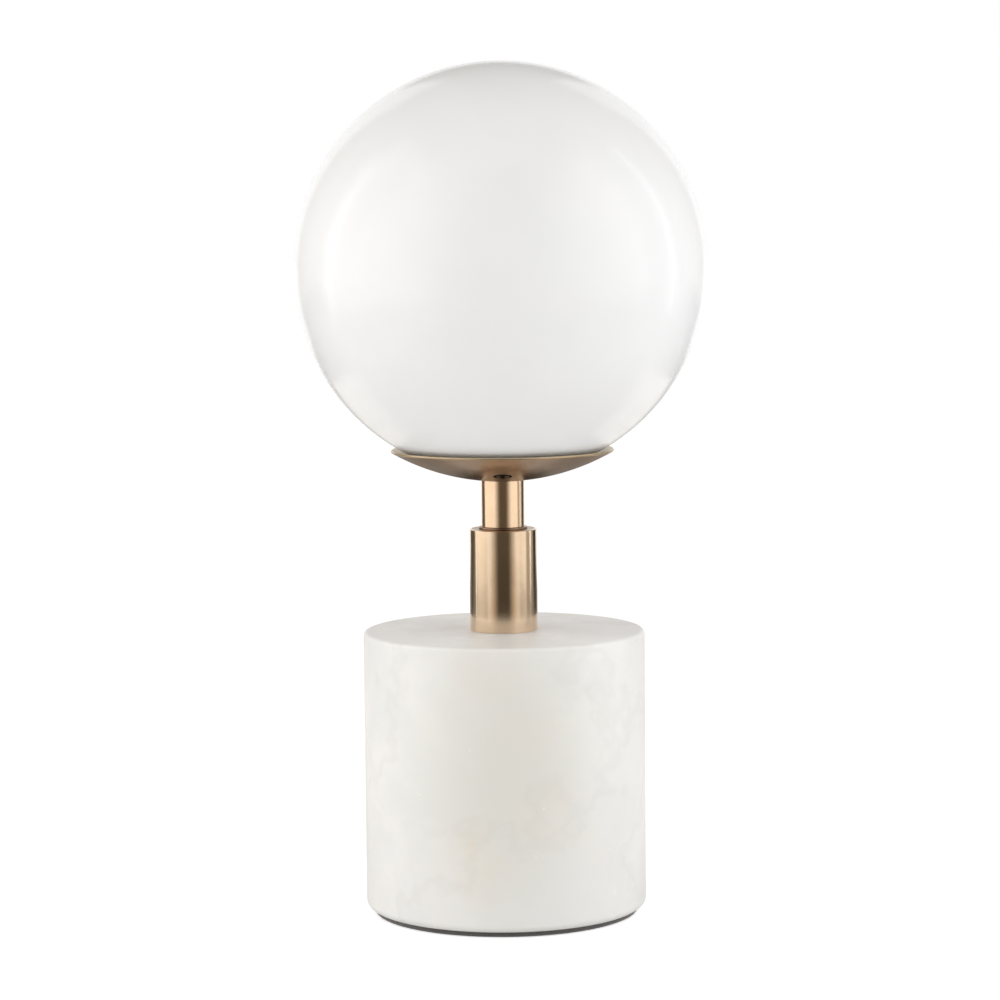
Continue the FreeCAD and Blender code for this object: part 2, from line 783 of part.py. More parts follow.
def make_socket_cap():
    """The lower half of the lampholder, with a ledge that the core rests on."""
    ledge = f"{CAVITY_BORE} - ledge_width"
    top = "wiring_height + core_thickness + holder_spigot"
    return turned("socket_cap", [
        (ROD_HOLE, "0"),
        (f"{HOLDER_RADIUS} - holder_bevel", "0"),
        (HOLDER_RADIUS, "holder_bevel"),
        (HOLDER_RADIUS, top),
        (CAVITY_BORE, top),
        (CAVITY_BORE, "wiring_height"),
        (ledge, "wiring_height"),
        (ledge, "holder_floor"),
        (ROD_HOLE, "holder_floor"),
    ], HOLDER)


def holder_screw_places():
    return [(LIVE_X, "0"), (NEUTRAL_X, "0")]


def make_socket_core():
    body = turned("socket_core", [
        ("0", "0"), (f"{CAVITY_BORE} - fit_gap", "0"),
        (f"{CAVITY_BORE} - fit_gap", "core_thickness"), ("0", "core_thickness"),
    ], CORE)
    cut(body, "screw_holes", "XY_Plane", "holder_screw_radius + fit_gap",
        holder_screw_places(), "core_thickness", flip=True)
    return body


def make_socket_body():
    bore = f"{SHELL_OUTSIDE} + fit_gap"
    top = "holder_spigot + holder_length"
    return turned("socket_body", [
        (bore, "0"),
        (f"{CAVITY_BORE} - fit_gap", "0"),
        (f"{CAVITY_BORE} - fit_gap", "holder_spigot"),
        (HOLDER_RADIUS, "holder_spigot"),
        (HOLDER_RADIUS, f"{top} - holder_bevel / 2"),
        (f"{HOLDER_RADIUS} - holder_bevel / 2", top),
        (bore, top),
    ], CORE_TOP)


def thread_ridge(body, root, height, start, outward):
    """A round-topped ridge wound up the inside or the outside of a shell, starting with
    its lower edge at the given height on the +X side. Its height is half its width."""
    sink = "shell_wall / 4"
    sketch = new_sketch(body, "ridge", "XZ_Plane")
    side = 1 if outward else -1
    base = value(root) - side * value(sink)
    middle = value(start) + value(height)
    half = value(height)
    arc_centre = FreeCAD.Vector(value(root), middle, 0)
    circle = Part.Circle(arc_centre, FreeCAD.Vector(0, 0, 1), half)
    first, last = (-math.pi / 2, math.pi / 2) if outward else (math.pi / 2, 1.5 * math.pi)
    ends = [FreeCAD.Vector(value(root), middle - half, 0),
            FreeCAD.Vector(value(root), middle + half, 0)]
    corners = [FreeCAD.Vector(base, middle - half, 0), FreeCAD.Vector(base, middle + half, 0)]
    arc = sketch.addGeometry(Part.ArcOfCircle(circle, first, last))
    low, high = (1, 2) if outward else (2, 1)
    lower = sketch.addGeometry(Part.LineSegment(corners[0], ends[0]))
    upper = sketch.addGeometry(Part.LineSegment(ends[1], corners[1]))
    back = sketch.addGeometry(Part.LineSegment(corners[1], corners[0]))
    for joint in ((lower, 2, arc, low), (arc, high, upper, 1), (upper, 2, back, 1),
                  (back, 2, lower, 1)):
        sketch.addConstraint(Sketcher.Constraint("Coincident", *joint))
    sign = "-" if outward else "+"
    pin(sketch, arc, 3, root, f"{start} + {height}")
    pin(sketch, arc, low, root, start)
    pin(sketch, lower, 1, f"{root} {sign} {sink}", start)
    pin(sketch, upper, 2, f"{root} {sign} {sink}", f"{start} + 2 * {height}")
    doc.recompute()
    feature = body.newObject("PartDesign::AdditiveHelix", f"{body.Name}_thread")
    feature.Profile = sketch
    feature.ReferenceAxis = (sketch, ["V_Axis"])
    feature.Mode = "pitch-turns-angle"
    feature.Pitch = value("thread_pitch")
    bind(feature, "Pitch", "thread_pitch")
    feature.Turns = value("thread_turns")
    bind(feature, "Turns", "thread_turns")
    body.Tip = feature
    doc.recompute()
    return feature


BULB_THREAD_START = "(bulb_cap_bottom + thread_margin)"


def make_screw_shell():
    """The threaded metal shell, with a foot flange on the core. Its ridge runs half a
    pitch away from the bulb's own ridge, and starts a turn and a half lower."""
    body = turned("screw_shell", [
        (SHELL_FLANGE, "0"),
        (SHELL_OUTSIDE, "0"),
        (SHELL_OUTSIDE, "shell_height"),
        (THREAD_OUTSIDE, "shell_height"),
        (THREAD_OUTSIDE, "shell_flange_thickness"),
        (SHELL_FLANGE, "shell_flange_thickness"),
    ], CORE_TOP)
    start = (f"({BULB} - {CORE_TOP} + {BULB_THREAD_START} + bulb_thread_ridge"
             " - 1.5 * thread_pitch - holder_ridge)")
    thread_ridge(body, THREAD_OUTSIDE, "holder_ridge", start, outward=False)
    return body


def make_centre_contact():
    """A bent strip: its foot lies on the live screw, its free end meets the bulb."""
    body = place(new_body("centre_contact"), CORE_TOP)
    foot = "0 - (live_screw_offset + contact_width / 3)"
    knee = "0 - live_screw_offset / 2"
    reach = "contact_width / 2"
    padded(body, "strip", [
        (foot, "0"),
        (knee, "0"),
        ("0", "contact_rise - contact_thickness"),
        (reach, "contact_rise - contact_thickness"),
        (reach, "contact_rise"),
        ("0 - contact_thickness", "contact_rise"),
        (f"{knee} - contact_thickness", "contact_thickness"),
        (foot, "contact_thickness"),
    ], "contact_width")
    return body


def make_socket_screws():
    pieces = []
    for index, (x, y) in enumerate(holder_screw_places()):
        head = {"Radius": "holder_screw_head_radius", "Height": "holder_screw_head_height"}
        shank = {"Radius": "holder_screw_radius", "Height": "core_thickness"}
        under = f"{CORE} - holder_screw_head_height"
        pieces.append(primitive("Part::Cylinder", f"holder_head_{index}", head, x, y, under))
        pieces.append(primitive("Part::Cylinder", f"holder_shank_{index}", shank, x, y, CORE))
    return together("socket_screws", pieces)


# ---------------------------------------------------------------- bulb

def make_bulb_contact():
    return turned("bulb_contact", [
        ("0", "0"),
        ("bulb_contact_radius - bulb_contact_height / 2", "0"),
        ("bulb_contact_radius", "bulb_contact_height"),
        ("0", "bulb_contact_height"),
    ], BULB)


def make_bulb_insulator():
    edge = f"{CAP_BORE} - fit_gap"
    rise = "bulb_insulator_top - bulb_contact_height"
    return turned("bulb_insulator", [
        ("0", "0"),
        ("bulb_contact_radius", "0"),
        (edge, "bulb_cap_bottom - bulb_contact_height"),
        (edge, rise),
        ("0", rise),
    ], f"{BULB} + bulb_contact_height")


def make_bulb_cap():
    """The bulb's threaded cap, a thin shell with its ridge outside."""
    body = ring("bulb_cap", CAP_BORE, "bulb_thread_core", "bulb_cap_top - bulb_cap_bottom",
                f"{BULB} + bulb_cap_bottom")
    thread_ridge(body, "bulb_thread_core", "bulb_thread_ridge",
                 f"({BULB_THREAD_START} - bulb_cap_bottom)", outward=True)
    return body


HOUSING_FOOT = "(bulb_cap_top - bulb_tail_depth)"
RIM = f"(bulb_rim_height - {HOUSING_FOOT})"
RIM_RADIUS = "(sqrt(bulb_globe_radius^2 - bulb_globe_drop^2))"


def make_bulb_housing():
    """The bulb's cone. Its tail sits in the cap and its rim holds the light board."""
    tail = f"{CAP_BORE} - fit_gap"
    shoulder = "bulb_tail_depth"
    flare = "bulb_tail_depth + bulb_neck_length"
    board_edge = f"{RIM_RADIUS} - bulb_housing_wall"
    board_seat = f"{RIM} - board_thickness"
    return turned("bulb_housing", [
        (f"{tail} - bulb_housing_wall", "0"),
        (tail, "0"),
        (tail, shoulder),
        ("bulb_neck_radius", shoulder),
        ("bulb_neck_radius", flare),
        (RIM_RADIUS, RIM),
        (board_edge, RIM),
        (board_edge, board_seat),
        (f"{board_edge} - board_ledge", board_seat),
        (f"{tail} - bulb_housing_wall", flare),
    ], f"{BULB} + {HOUSING_FOOT}")


def make_bulb_board():
    radius = f"{RIM_RADIUS} - bulb_housing_wall - fit_gap"
    return turned("bulb_board", [
        ("0", "0"), (radius, "0"), (radius, "board_thickness"), ("0", "board_thickness"),
    ], f"{BULB} + bulb_rim_height - board_thickness")


def make_bulb_driver():
    """The driver board hangs from the middle of the light board."""
    size = {"Length": "driver_width", "Width": "board_thickness", "Height": "driver_height"}
    item = primitive("Part::Box", "bulb_driver", size, "0 - driver_width / 2",
                     "0 - board_thickness / 2",
                     f"{BULB} + bulb_rim_height - board_thickness - driver_height")
    item.Label = "bulb_driver"
    return item


def make_bulb_diffuser():
    inner = "bulb_globe_radius - diffuser_wall"
    return turned("bulb_diffuser", [
        (RIM_RADIUS, "0", "arc"),
        ("0", "bulb_globe_drop + bulb_globe_radius"),
        ("0", f"bulb_globe_drop + {inner}", "arc"),
        (f"sqrt(({inner})^2 - bulb_globe_drop^2)", "0"),
    ], f"{BULB} + bulb_rim_height")


# ---------------------------------------------------------------- leads

def rounded_path(points):
    """Straight runs with tangent arcs at the corners, each as large as its runs allow."""
    share = 0.45
    edges = []
    start = points[0]
    for before, corner, after in zip(points, points[1:], points[2:]):
        towards = (before - corner).normalize()
        onward = (after - corner).normalize()
        room = share * min((before - corner).Length, (after - corner).Length)
        half_turn = (math.pi - towards.getAngle(onward)) / 2
        radius = room / math.tan(half_turn)
        print(f"lead bend radius {radius:.1f}")
        arc_start = corner + towards * room
        arc_end = corner + onward * room
        inward = (towards + onward).normalize()
        middle = corner + inward * (radius / math.cos(half_turn) - radius)
        edges.append(Part.LineSegment(start, arc_start).toShape())
        edges.append(Part.Arc(arc_start, middle, arc_end).toShape())
        start = arc_end
    edges.append(Part.LineSegment(start, points[-1]).toShape())
    return Part.Wire(edges)


def make_lead(label, side, screw_x):
    """A lead from its holder screw, down the rod and round into its side of the block."""
    screw = value(screw_x)
    in_rod = side * value("lead_spacing / 2")
    in_block = side * value("block_pole_spacing / 2")
    under_screw = value(f"{CORE} - holder_screw_head_height")
    over_rod = value(f"{ROD_TOP} + lead_mouth_gap")
    spread = value(f"{ROD_TOP} + lead_mouth_gap + lead_spread_height")
    under_rod = value(f"{ROD_BOTTOM} - lead_tail")
    bore_level = value(f"{PLATE_TOP} + block_wire_height")
    return_level = value(f"{PLATE_TOP} + block_wire_height + lead_return_height")
    block_front = 0 - value("block_depth / 2")
    points = [FreeCAD.Vector(*point) for point in (
        (screw, 0, under_screw),
        (screw, 0, spread),
        (in_rod, 0, over_rod),
        (in_rod, 0, under_rod),
        ((in_rod + in_block) / 2, 0 - value("lead_bow"), (under_rod + return_level) / 2),
        (in_block, 0 - value("lead_return"), return_level),
        (in_block, block_front - value("lead_block_run"), bore_level),
        (in_block, block_front + value("lead_block_depth"), bore_level),
    )]
    path = rounded_path(points)
    radius = value("lead_radius")
    section = Part.Wire([Part.Circle(points[0], points[1] - points[0], radius).toShape()])
    lead = doc.addObject("Part::Feature", label)
    lead.Label = label
    lead.Shape = path.makePipeShell([section], True, False)
    lead.Placement = FreeCAD.Placement()
    straight = math.pi * radius ** 2 * path.Length
    if abs(lead.Shape.Volume / straight - 1) > 0.01:
        raise ValueError(f"{label}: volume {lead.Shape.Volume:.1f}, not {straight:.1f}")
    return lead


sub_parts = [
    make_base_pad(),
    make_marble_base(),
    make_bottom_plate(),
    make_plate_screws(),
    make_plate_anchors(),
    make_cord_grommet(),
    make_terminal_block(),
    make_block_screws(),
    make_threaded_rod(),
    make_rod_nuts(),
    make_clamp_washer(),
    make_lock_washer(),
    make_dish_washer(),
    make_sleeve_locator(),
    make_stem_sleeve(),
    make_sleeve_cap(),
    make_tube_seat(),
    make_neck_tube(),
    make_tube_bush(),
    make_shade_dish(),
    make_globe_gasket(),
    make_clip_spider(),
    make_globe_shade(),
    make_socket_cap(),
    make_socket_core(),
    make_socket_body(),
    make_screw_shell(),
    make_centre_contact(),
    make_socket_screws(),
    make_bulb_contact(),
    make_bulb_insulator(),
    make_bulb_cap(),
    make_bulb_housing(),
    make_bulb_board(),
    make_bulb_driver(),
    make_bulb_diffuser(),
    make_lead("lead_live", -1, LIVE_X),
    make_lead("lead_neutral", 1, NEUTRAL_X),
]

doc.recompute()
for item in doc.Objects:
    if "Invalid" in item.State or "Error" in item.State:
        raise ValueError(f"{item.Name} failed: {item.State}")
for item in sub_parts:
    if item.Shape.isNull() or not item.Shape.isValid():
        raise ValueError(f"{item.Label} has no valid shape")

os.makedirs("parts", exist_ok=True)
for item in sub_parts:
    item.Shape.exportStep(f"parts/{item.Label}.step")
    print(f"{item.Label}: {len(item.Shape.Solids)} solid, {item.Shape.Volume:.0f} mm3")
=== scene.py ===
import math

import bmesh
import bpy
from mathutils import Matrix, Vector


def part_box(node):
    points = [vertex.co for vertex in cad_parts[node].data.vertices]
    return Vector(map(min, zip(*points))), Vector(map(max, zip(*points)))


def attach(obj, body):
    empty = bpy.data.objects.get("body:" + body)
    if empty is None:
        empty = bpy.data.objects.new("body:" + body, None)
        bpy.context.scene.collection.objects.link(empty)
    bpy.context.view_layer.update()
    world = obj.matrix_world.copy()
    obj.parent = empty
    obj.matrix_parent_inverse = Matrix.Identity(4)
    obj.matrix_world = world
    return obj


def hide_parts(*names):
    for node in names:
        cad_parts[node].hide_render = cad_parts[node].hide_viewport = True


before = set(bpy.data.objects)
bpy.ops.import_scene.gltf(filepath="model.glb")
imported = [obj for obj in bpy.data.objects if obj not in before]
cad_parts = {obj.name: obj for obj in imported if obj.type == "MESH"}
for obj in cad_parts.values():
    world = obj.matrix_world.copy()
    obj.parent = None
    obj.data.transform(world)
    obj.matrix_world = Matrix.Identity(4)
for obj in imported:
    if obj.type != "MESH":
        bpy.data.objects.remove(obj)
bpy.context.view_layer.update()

# The globe lamp's looks. Metres, in the CAD frame: +Z up, the front of the lamp to -Y.

MM = 0.001

# Steps in a full turn, for a slim piece and for a wide one.
ROUND = 160
WIDE_ROUND = 192
# Edges shorter than this are left over from a cut.
SLIVER = 0.004 * MM
ROD_HOLE = 5.2 * MM

# The dish is part of a sphere: its outer radius and its middle's level on the axis.
DISH_SPHERE = 108.5 * MM
DISH_CENTRE = 319.1 * MM
DISH_RISE = 13.9 * MM
DISH_WALL = 1.2 * MM
VENT_RADIUS = 4.4 * MM
VENT_CIRCLE = 31.5 * MM
VENT_ANGLES = [math.radians(-90 + 120 * number) for number in range(3)]


# ------------------------------------------------------------------ finishes

def paint(red, green, blue):
    """A colour as it is seen on the screen, 0 to 255, made linear for a shader."""
    def linear(level):
        level = level / 255
        return level / 12.92 if level <= 0.04045 else ((level + 0.055) / 1.055) ** 2.4
    return linear(red), linear(green), linear(blue), 1.0


def find(sockets, name):
    """A socket by its identifier or, failing that, by its name."""
    for socket in sockets:
        if socket.identifier == name:
            return socket
    return sockets[name]


class Wire:
    """A node's output, on which plain arithmetic adds Math nodes."""

    def __init__(self, finish, socket):
        self.finish = finish
        self.socket = socket

    def maths(self, operation, first, second):
        return self.finish.node("Math", {"operation": operation},
                                {"Value": first, "Value_001": second})

    def __add__(self, other):
        return self.maths("ADD", self, other)

    __radd__ = __add__

    def __sub__(self, other):
        return self.maths("SUBTRACT", self, other)

    def __rsub__(self, other):
        return self.maths("SUBTRACT", other, self)

    def __mul__(self, other):
        return self.maths("MULTIPLY", self, other)

    __rmul__ = __mul__


class Finish:
    """The nodes of one material, or of the world."""

    def __init__(self, tree):
        self.nodes = tree.nodes
        self.links = tree.links

    def node(self, kind, settings=None, inputs=None, out=None):
        """Adds a node: its settings, then a value or a link for each socket named.
        Gives back the output named, or the first."""
        node = self.nodes.new("ShaderNode" + kind)
        for name, setting in (settings or {}).items():
            setattr(node, name, setting)
        self.plug(node, inputs or {})
        output = find(node.outputs, out) if out else next(iter(node.outputs), None)
        return Wire(self, output)

    def plug(self, node, inputs):
        """Links or sets a node's inputs by name."""
        for name, given in inputs.items():
            socket = find(node.inputs, name)
            if isinstance(given, Wire):
                self.links.new(given.socket, socket)
            else:
                socket.default_value = given

    def noise(self, place, scale, detail=3, roughness=0.5):
        """Soft cloudy noise from 0 to 1, about 0.5."""
        return self.node("TexNoise", {}, {"Vector": place, "Scale": scale,
                                          "Detail": detail, "Roughness": roughness},
                         out="Fac")

    def stretch(self, place, scale, move=(0, 0, 0)):
        """A place scaled along each axis and then moved."""
        return self.node("Mapping", {}, {"Vector": place, "Scale": scale,
                                         "Location": move})

    def ease(self, amount, low, high, start=0.0, end=1.0):
        """The start value below low, the end value above high, a smooth change
        between them."""
        return self.node("MapRange", {"interpolation_type": "SMOOTHSTEP"},
                         {"Value": amount, "From Min": low, "From Max": high,
                          "To Min": start, "To Max": end})

    def mix(self, share, first, second):
        """The first colour, with a share of the second laid over it."""
        return self.node("Mix", {"data_type": "RGBA"},
                         {"Factor_Float": share, "A_Color": first, "B_Color": second},
                         out="Result_Color")

    def far(self, place, point):
        """How far a place is from a point."""
        return self.node("VectorMath", {"operation": "DISTANCE"},
                         {"Vector": place, "Vector_001": point}, out="Value")

    def height(self, place):
        """A place's level."""
        return self.node("SeparateXYZ", {}, {"Vector": place}, out="Z")

    def bump(self, height, depth, strength=1.0):
        """A normal bent as a height from 0 to 1 would bend it at a depth in metres."""
        return self.node("Bump", {}, {"Height": height, "Distance": depth,
                                      "Strength": strength})


class Skin(Finish):
    """A material with one Principled shader. The settings stay the same all over."""

    def __init__(self, name, settings):
        self.material = bpy.data.materials.new(name)
        self.material.use_nodes = True
        super().__init__(self.material.node_tree)
        self.shader = self.nodes["Principled BSDF"]
        self.place = self.node("TexCoord", out="Object")
        self.plug(self.shader, settings)

    def wear(self, **sockets):
        """Plugs in what changes over the surface, and gives back the material."""
        self.plug(self.shader, {name.replace("_", " "): given
                                for name, given in sockets.items()})
        return self.material


def opal_glass():
    skin = Skin("opal_glass", {"IOR": 1.5, "Subsurface Weight": 0.2,
                               "Subsurface Radius": (1.0, 0.97, 0.94),
                               "Subsurface Scale": 0.002})
    cloud = skin.noise(skin.place, 14)
    ripple = skin.noise(skin.stretch(skin.place, (1, 1, 0.5)), 26, 1)
    colour = skin.mix(skin.ease(cloud, 0.35, 0.65), paint(244, 244, 244),
                      paint(241, 241, 241))
    return skin.wear(Base_Color=colour, Roughness=0.15 + 0.06 * cloud,
                     Normal=skin.bump(ripple, 0.0003, 0.3))


def brass(name, light, dark, shade, gloss, painted_light=None):
    """Satin brass with a thin patina: cloudy tone, fine turning lines, dull smudges.
    If the last argument is given, it adds a piece's painted light and shade to the
    tone."""
    skin = Skin(name, {"Metallic": 1.0})
    patina = skin.noise(skin.place, 38, 5, 0.6)
    smudge = skin.noise(skin.stretch(skin.place, (1, 1, 0.35), (0.3, 0.1, 0)), 95)
    lines = skin.noise(skin.stretch(skin.place, (6, 6, 900)), 5, 2)
    tone = skin.mix(skin.ease(patina, 0.32, 0.7), light, dark)
    smudge_and_painted_light = skin.mix(skin.ease(smudge, 0.52, 0.78, 0, 0.35), tone, shade)
    if painted_light:
        smudge_and_painted_light = painted_light(skin, smudge_and_painted_light)
    rough = gloss + 0.05 * patina + 0.04 * smudge + 0.02 * lines
    return skin.wear(Base_Color=smudge_and_painted_light, Roughness=rough,
                     Normal=skin.bump(lines, 0.00002, 0.06))


def dish_painted_light(skin, tone):
    """Painted light and shade on the dish: the inside is painted pale, the lip gets a
    painted highlight and the vent walls get painted shade.
    """
    flat = skin.stretch(skin.place, (1, 1, 0))
    # Painted light: the inside face is painted paler than the underside, to lift the
    # shade in the gap under the globe.
    from_middle = skin.far(skin.place, (0, 0, DISH_CENTRE))
    inside = skin.ease(from_middle, DISH_SPHERE - 0.8 * MM, DISH_SPHERE - 0.3 * MM,
                       0.8, 0)
    tone = skin.mix(inside, tone, paint(216, 200, 172))
    from_axis = skin.far(flat, (0, 0, 0))
    # Painted highlight: a lighter band along the lip.
    lip = skin.ease(from_axis, 53.8 * MM, 54.1 * MM, 0, 0.4)
    tone = skin.mix(lip, tone, paint(222, 202, 162))
    # Painted shade: the walls of the vents are painted near black.
    for angle in VENT_ANGLES:
        vent = VENT_CIRCLE * math.cos(angle), VENT_CIRCLE * math.sin(angle), 0
        wall = skin.ease(skin.far(flat, vent), VENT_RADIUS + 0.1 * MM,
                         VENT_RADIUS + 0.5 * MM, 0.9, 0)
        tone = skin.mix(wall, tone, paint(46, 38, 30))
    return tone


# The stone's pattern is moved to and fro by up to this many millimetres, and half of it
# on average.
BEND = 30
# Its soft warm stains: place and reach in millimetres, and weight.
STAINS = [
    ((-7, -68, 128), 15, 0.7), ((9, -67, 98), 13, 0.5), ((20, -66, 62), 14, 0.6),
    ((-19, -65, 50), 10, 0.9), ((-15, -66, 28), 14, 1.0), ((-20, -64, 40), 8, 0.6),
    ((44, -52, 40), 16, 0.3), ((60, 30, 88), 15, 0.7), ((-52, 44, 60), 18, 0.8),
    ((-10, 68, 104), 16, 0.7), ((22, 64, 40), 20, 0.6),
]


def white_marble():
    skin = Skin("white_marble", {"IOR": 1.5, "Subsurface Weight": 0.08,
                                 "Subsurface Radius": (1.0, 0.85, 0.7),
                                 "Subsurface Scale": 0.003})
    drift = skin.noise(skin.place, 9, 2)
    swirl = skin.node("TexNoise", {}, {"Vector": skin.place, "Scale": 16, "Detail": 3},
                      out="Color")
    bent = skin.node("VectorMath", {"operation": "MULTIPLY_ADD"},
                     {"Vector": swirl, "Vector_001": (BEND * MM, BEND * MM, BEND * MM),
                      "Vector_002": skin.place})
    cloud = skin.noise(bent, 24, 6, 0.62)
    grain = skin.noise(skin.place, 520, 2, 0.6)
    crystal = skin.noise(bent, 150, 4, 0.65)
    ground = skin.mix(skin.ease(cloud, 0.36, 0.66), paint(243, 241, 238),
                      paint(236, 235, 232))
    ground = skin.mix(skin.ease(drift, 0.4, 0.7, 0, 0.4), ground, paint(228, 227, 226))
    warmth = None
    for place, reach, weight in STAINS:
        middle = [(part + BEND / 2) * MM for part in place]
        near = skin.ease(skin.far(bent, middle), 0, reach * MM * 1.6, weight, 0)
        warmth = near if warmth is None else warmth + near
    ragged = warmth * skin.ease(crystal, 0.36, 0.66, 0.25, 1)
    # Painted shade: the middle of the front face is painted darker and yellower, as it
    # lies between the side lamps' light.
    tall = skin.stretch(skin.place, (1, 1, 0.6))
    front = skin.far(tall, (2 * MM, -68 * MM, 46 * MM))
    front_painted_shade = skin.ease(front, 5 * MM, 68 * MM, 0.95, 0)
    ground = skin.mix(front_painted_shade, ground, paint(226, 224, 216))
    stained = skin.mix(ragged * 0.34, ground, paint(238, 220, 198))
    specks = skin.ease(skin.noise(bent, 210, 3, 0.7), 0.68, 0.76)
    flecked = skin.mix(specks * 0.5, stained, paint(250, 248, 244))
    seam = skin.node("Math", {"operation": "ABSOLUTE"},
                     {"Value": skin.noise(bent, 7, 5, 0.6) - 0.5})
    veined = skin.mix(skin.ease(seam, 0, 0.03, 0.12, 0), flecked, paint(204, 200, 194))
    polished = 0.36 + 0.12 * cloud + 0.06 * grain
    return skin.wear(Base_Color=veined, Roughness=polished,
                     Normal=skin.bump(grain + crystal * 0.5, 0.00004, 0.25))


def felt_pad():
    skin = Skin("felt_pad", {"Sheen Weight": 0.3, "Sheen Roughness": 0.6})
    fibre = skin.noise(skin.stretch(skin.place, (1, 1, 2.5)), 900, 3, 0.7)
    felt = skin.noise(skin.place, 160)
    colour = skin.mix(fibre, paint(70, 68, 66), paint(112, 109, 105))
    return skin.wear(Base_Color=skin.mix(felt * 0.5, colour, paint(60, 58, 57)),
                     Roughness=0.85 + 0.1 * fibre, Normal=skin.bump(fibre, 0.0003, 0.6))


def zinc_steel(name, light, dark, thread=0):
    """Plated steel. The pitch of a thread adds its grooves along the axis."""
    skin = Skin(name, {"Metallic": 1.0})
    bloom = skin.noise(skin.place, 160, 4, 0.6)
    scratch = skin.noise(skin.stretch(skin.place, (1, 9, 1)), 420, 2)
    colour = skin.mix(skin.ease(bloom, 0.35, 0.7), light, dark)
    relief = skin.bump(scratch, 0.00002, 0.4)
    if thread:
        height = skin.height(skin.place)
        ridge = skin.node("Math", {"operation": "SINE"},
                          {"Value": height * (2 * math.pi / thread)})
        relief = skin.bump(ridge * 0.5 + 0.5, thread * 0.5, 0.9)
    return skin.wear(Base_Color=colour, Roughness=0.3 + 0.15 * bloom + 0.08 * scratch,
                     Normal=relief)


def moulded(name, light, dark, rough, settings=None):
    """Moulded plastic, rubber or fired clay, with a fine even grain."""
    skin = Skin(name, settings or {})
    grain = skin.noise(skin.place, 1400, 2)
    cloud = skin.noise(skin.place, 60)
    colour = skin.mix(skin.ease(cloud, 0.3, 0.7), light, dark)
    return skin.wear(Base_Color=colour, Roughness=rough + 0.1 * cloud,
                     Normal=skin.bump(grain, 0.00003, 0.5))


def circuit_board():
    skin = Skin("circuit_board", {"IOR": 1.5})
    cell = skin.node("TexBrick", {"offset": 0.5},
                     {"Vector": skin.place, "Scale": 160,
                      "Mortar Size": 0.12, "Color1": paint(236, 238, 236),
                      "Color2": paint(228, 231, 229), "Mortar": paint(206, 210, 206)},
                     out="Color")
    haze = skin.noise(skin.place, 90)
    return skin.wear(Base_Color=skin.mix(haze * 0.2, cell, paint(214, 218, 214)),
                     Roughness=0.4 + 0.15 * haze)


def frosted_diffuser():
    skin = Skin("frosted_diffuser", {"IOR": 1.46, "Subsurface Weight": 0.15,
                                     "Subsurface Radius": (1.0, 0.98, 0.95),
                                     "Subsurface Scale": 0.001})
    frost = skin.noise(skin.place, 1100, 2)
    haze = skin.noise(skin.place, 40, 2)
    colour = skin.mix(haze, paint(246, 246, 243), paint(240, 240, 238))
    return skin.wear(Base_Color=colour, Roughness=0.42 + 0.12 * frost,
                     Normal=skin.bump(frost, 0.00003, 0.4))


ROSE_BRASS = brass("rose_brass", paint(253, 226, 196), paint(246, 214, 182),
                   paint(220, 188, 156), 0.13)
SLEEVE_BRASS = brass("sleeve_brass", paint(246, 222, 194), paint(232, 208, 180),
                     paint(204, 182, 160), 0.1)
# Painted shade: the dish's brass is a darker copy of the stem's, for its underside,
# which faces down away from the lamps.
DISH_BRASS = brass("dish_brass", paint(190, 166, 142), paint(174, 150, 128),
                   paint(144, 124, 108), 0.24, dish_painted_light)
# Painted shade: the sleeve's top disc and the tube's foot ring are a darker brass, for
# the shade in the joint between tube and sleeve.
JOINT_SHADE_BRASS = brass("joint_shade_brass", paint(176, 152, 132), paint(156, 132, 114),
                   paint(120, 102, 90), 0.26)
CONTACT_BRASS = brass("contact_brass", paint(222, 190, 120), paint(200, 166, 98),
                      paint(160, 130, 80), 0.25)
OPAL = opal_glass()
MARBLE = white_marble()
PAD = felt_pad()
STEEL = zinc_steel("zinc_steel", paint(196, 198, 200), paint(168, 170, 173))
ROD_STEEL = zinc_steel("rod_steel", paint(206, 188, 140), paint(180, 160, 112), 1 * MM)
NICKEL = zinc_steel("nickel", paint(214, 210, 200), paint(190, 186, 176))
SPRING_STEEL = zinc_steel("spring_steel", paint(186, 188, 190), paint(150, 152, 156))
ALUMINIUM = zinc_steel("aluminium", paint(214, 216, 218), paint(196, 198, 201))
BLACK = moulded("black_plastic", paint(38, 38, 39), paint(28, 28, 29), 0.42)
GROMMET = moulded("grommet_rubber", paint(46, 45, 44), paint(36, 35, 35), 0.55)
WHITE = moulded("white_plastic", paint(234, 233, 229), paint(226, 225, 220), 0.38)
SILICONE = moulded("silicone", paint(226, 228, 228), paint(214, 216, 216), 0.5,
                   {"Subsurface Weight": 0.15, "Subsurface Scale": 0.002})
PORCELAIN = moulded("porcelain", paint(240, 236, 226), paint(232, 227, 216), 0.18,
                    {"Coat Weight": 0.5, "Coat Roughness": 0.08})
BLACK_GLASS = moulded("black_glass", paint(22, 22, 26), paint(16, 16, 20), 0.12)
BROWN_LEAD = moulded("brown_lead", paint(104, 66, 44), paint(90, 56, 38), 0.45)
BLUE_LEAD = moulded("blue_lead", paint(52, 92, 150), paint(42, 78, 132), 0.45)
BOARD = circuit_board()
DIFFUSER = frosted_diffuser()


# ------------------------------------------------------------------ turned pieces

def reach(node):
    """A round node's outer radius, and the levels of its foot and of its top."""
    low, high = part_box(node)
    return min(high[0], high[1], -low[0], -low[1]), low[2], high[2]


def mesh_data(name, mesh):
    """A finished mesh, of a bmesh that isn't needed any more."""
    data = bpy.data.meshes.new(name)
    mesh.to_mesh(data)
    mesh.free()
    return data


def set_down(name, data):
    """A new object in the scene, at the origin."""
    item = bpy.data.objects.new(name, data)
    bpy.context.scene.collection.objects.link(item)
    return item


